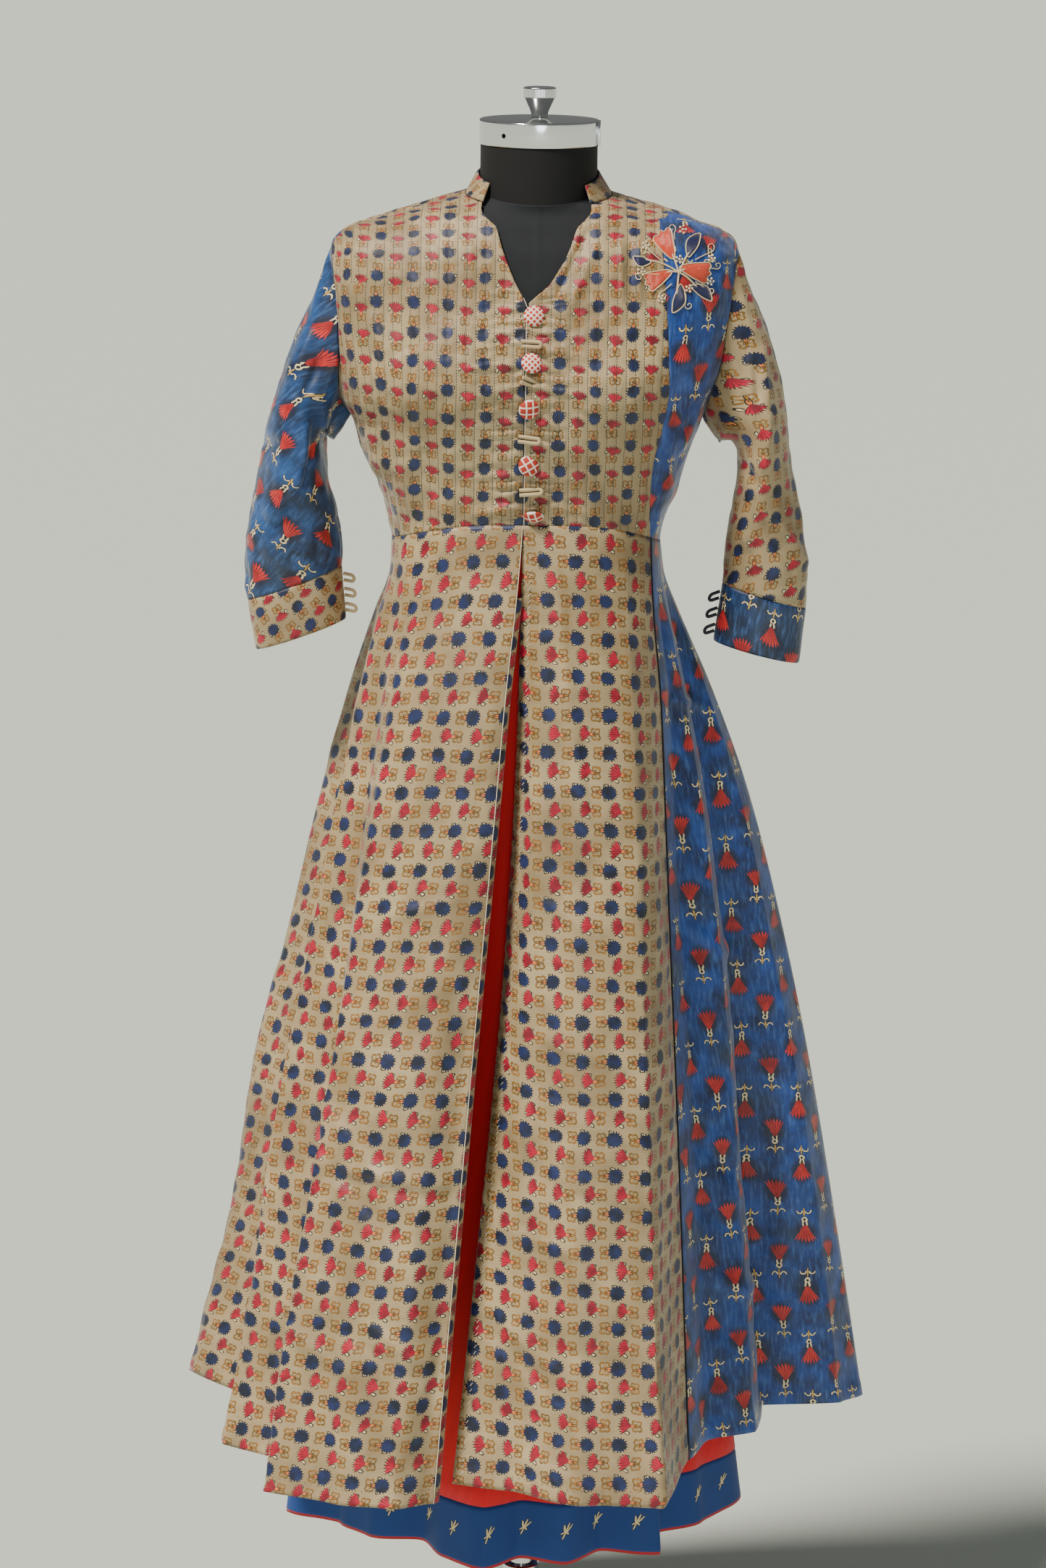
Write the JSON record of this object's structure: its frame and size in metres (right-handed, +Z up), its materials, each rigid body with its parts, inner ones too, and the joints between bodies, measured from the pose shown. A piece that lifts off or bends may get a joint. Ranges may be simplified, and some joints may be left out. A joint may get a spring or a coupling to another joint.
{
  "type": "anarkali gown on dress form",
  "caption": "Full-length front-slit anarkali gown with long sleeves and a lower skirt layer, standing on a limbless dress form with a telescoping pole and round base.",
  "frame": {"origin": "centre of the base plate's underside, on the floor below the pole", "axes": "+Z up along the pole, the gown's front faces -Y, +X is the wearer's left (viewer's right)"},
  "size_m": [0.7069, 0.5859, 1.6908],
  "materials": {
    "beige_silk": "beige silk with a small woven flower print",
    "blue_silk": "mottled blue silk with red flowers",
    "red_cotton": "plain red lining cloth",
    "border_cotton": "blue border cloth",
    "button_cloth": "coral cloth with a white grid check",
    "loop_beige": "beige rolled cord",
    "loop_dark": "dark rolled cord",
    "spray_thread": "satin stitch embroidery",
    "form_jersey": "charcoal jersey cover",
    "neck_cover": "black matte neck cover",
    "polished_metal": "polished chrome",
    "dark_metal": "dark painted steel"
  },
  "bodies": {
    "stand": {"base_plate": "dark_metal", "lower_tube": "polished_metal", "clamp_ring": "polished_metal"},
    "form": {"pole": "polished_metal", "form_torso": "form_jersey", "form_neck": "neck_cover", "neck_cap": "polished_metal", "finial_knob": "polished_metal", "bodice_front_right": "beige_silk", "bodice_front_left": "beige_silk", "bodice_side_left": "blue_silk", "bodice_back": "beige_silk", "collar": "beige_silk", "sleeve_right": "blue_silk", "cuff_right": "beige_silk", "sleeve_left": "beige_silk", "cuff_left": "blue_silk", "cuff_loop_right_1": "loop_beige", "cuff_loop_right_2": "loop_beige", "cuff_loop_right_3": "loop_beige", "cuff_loop_left_1": "loop_dark", "cuff_loop_left_2": "loop_dark", "cuff_loop_left_3": "loop_dark", "skirt_front_left": "beige_silk", "skirt_side_left": "blue_silk", "skirt_back_left": "beige_silk", "skirt_back_right": "beige_silk", "skirt_front_right": "beige_silk", "underskirt": "red_cotton", "underskirt_border": "border_cotton", "button_1": "button_cloth", "button_2": "button_cloth", "button_3": "button_cloth", "button_4": "button_cloth", "button_5": "button_cloth", "front_loop_1": "loop_beige", "front_loop_2": "loop_beige", "front_loop_3": "loop_beige", "front_loop_4": "loop_beige", "spray_bell_top": "spray_thread", "spray_bell_middle": "spray_thread", "spray_bell_low": "spray_thread", "spray_leaf_top": "spray_thread", "spray_leaf_right": "spray_thread", "spray_leaf_low": "spray_thread", "spray_leaf_left": "spray_thread"}
  },
  "joints": [
    {"name": "height_slide", "type": "slide", "parent": "stand", "child": "form", "axis": [0, 0, 1], "range_m": [-0.045, 0.045]}
  ]
}
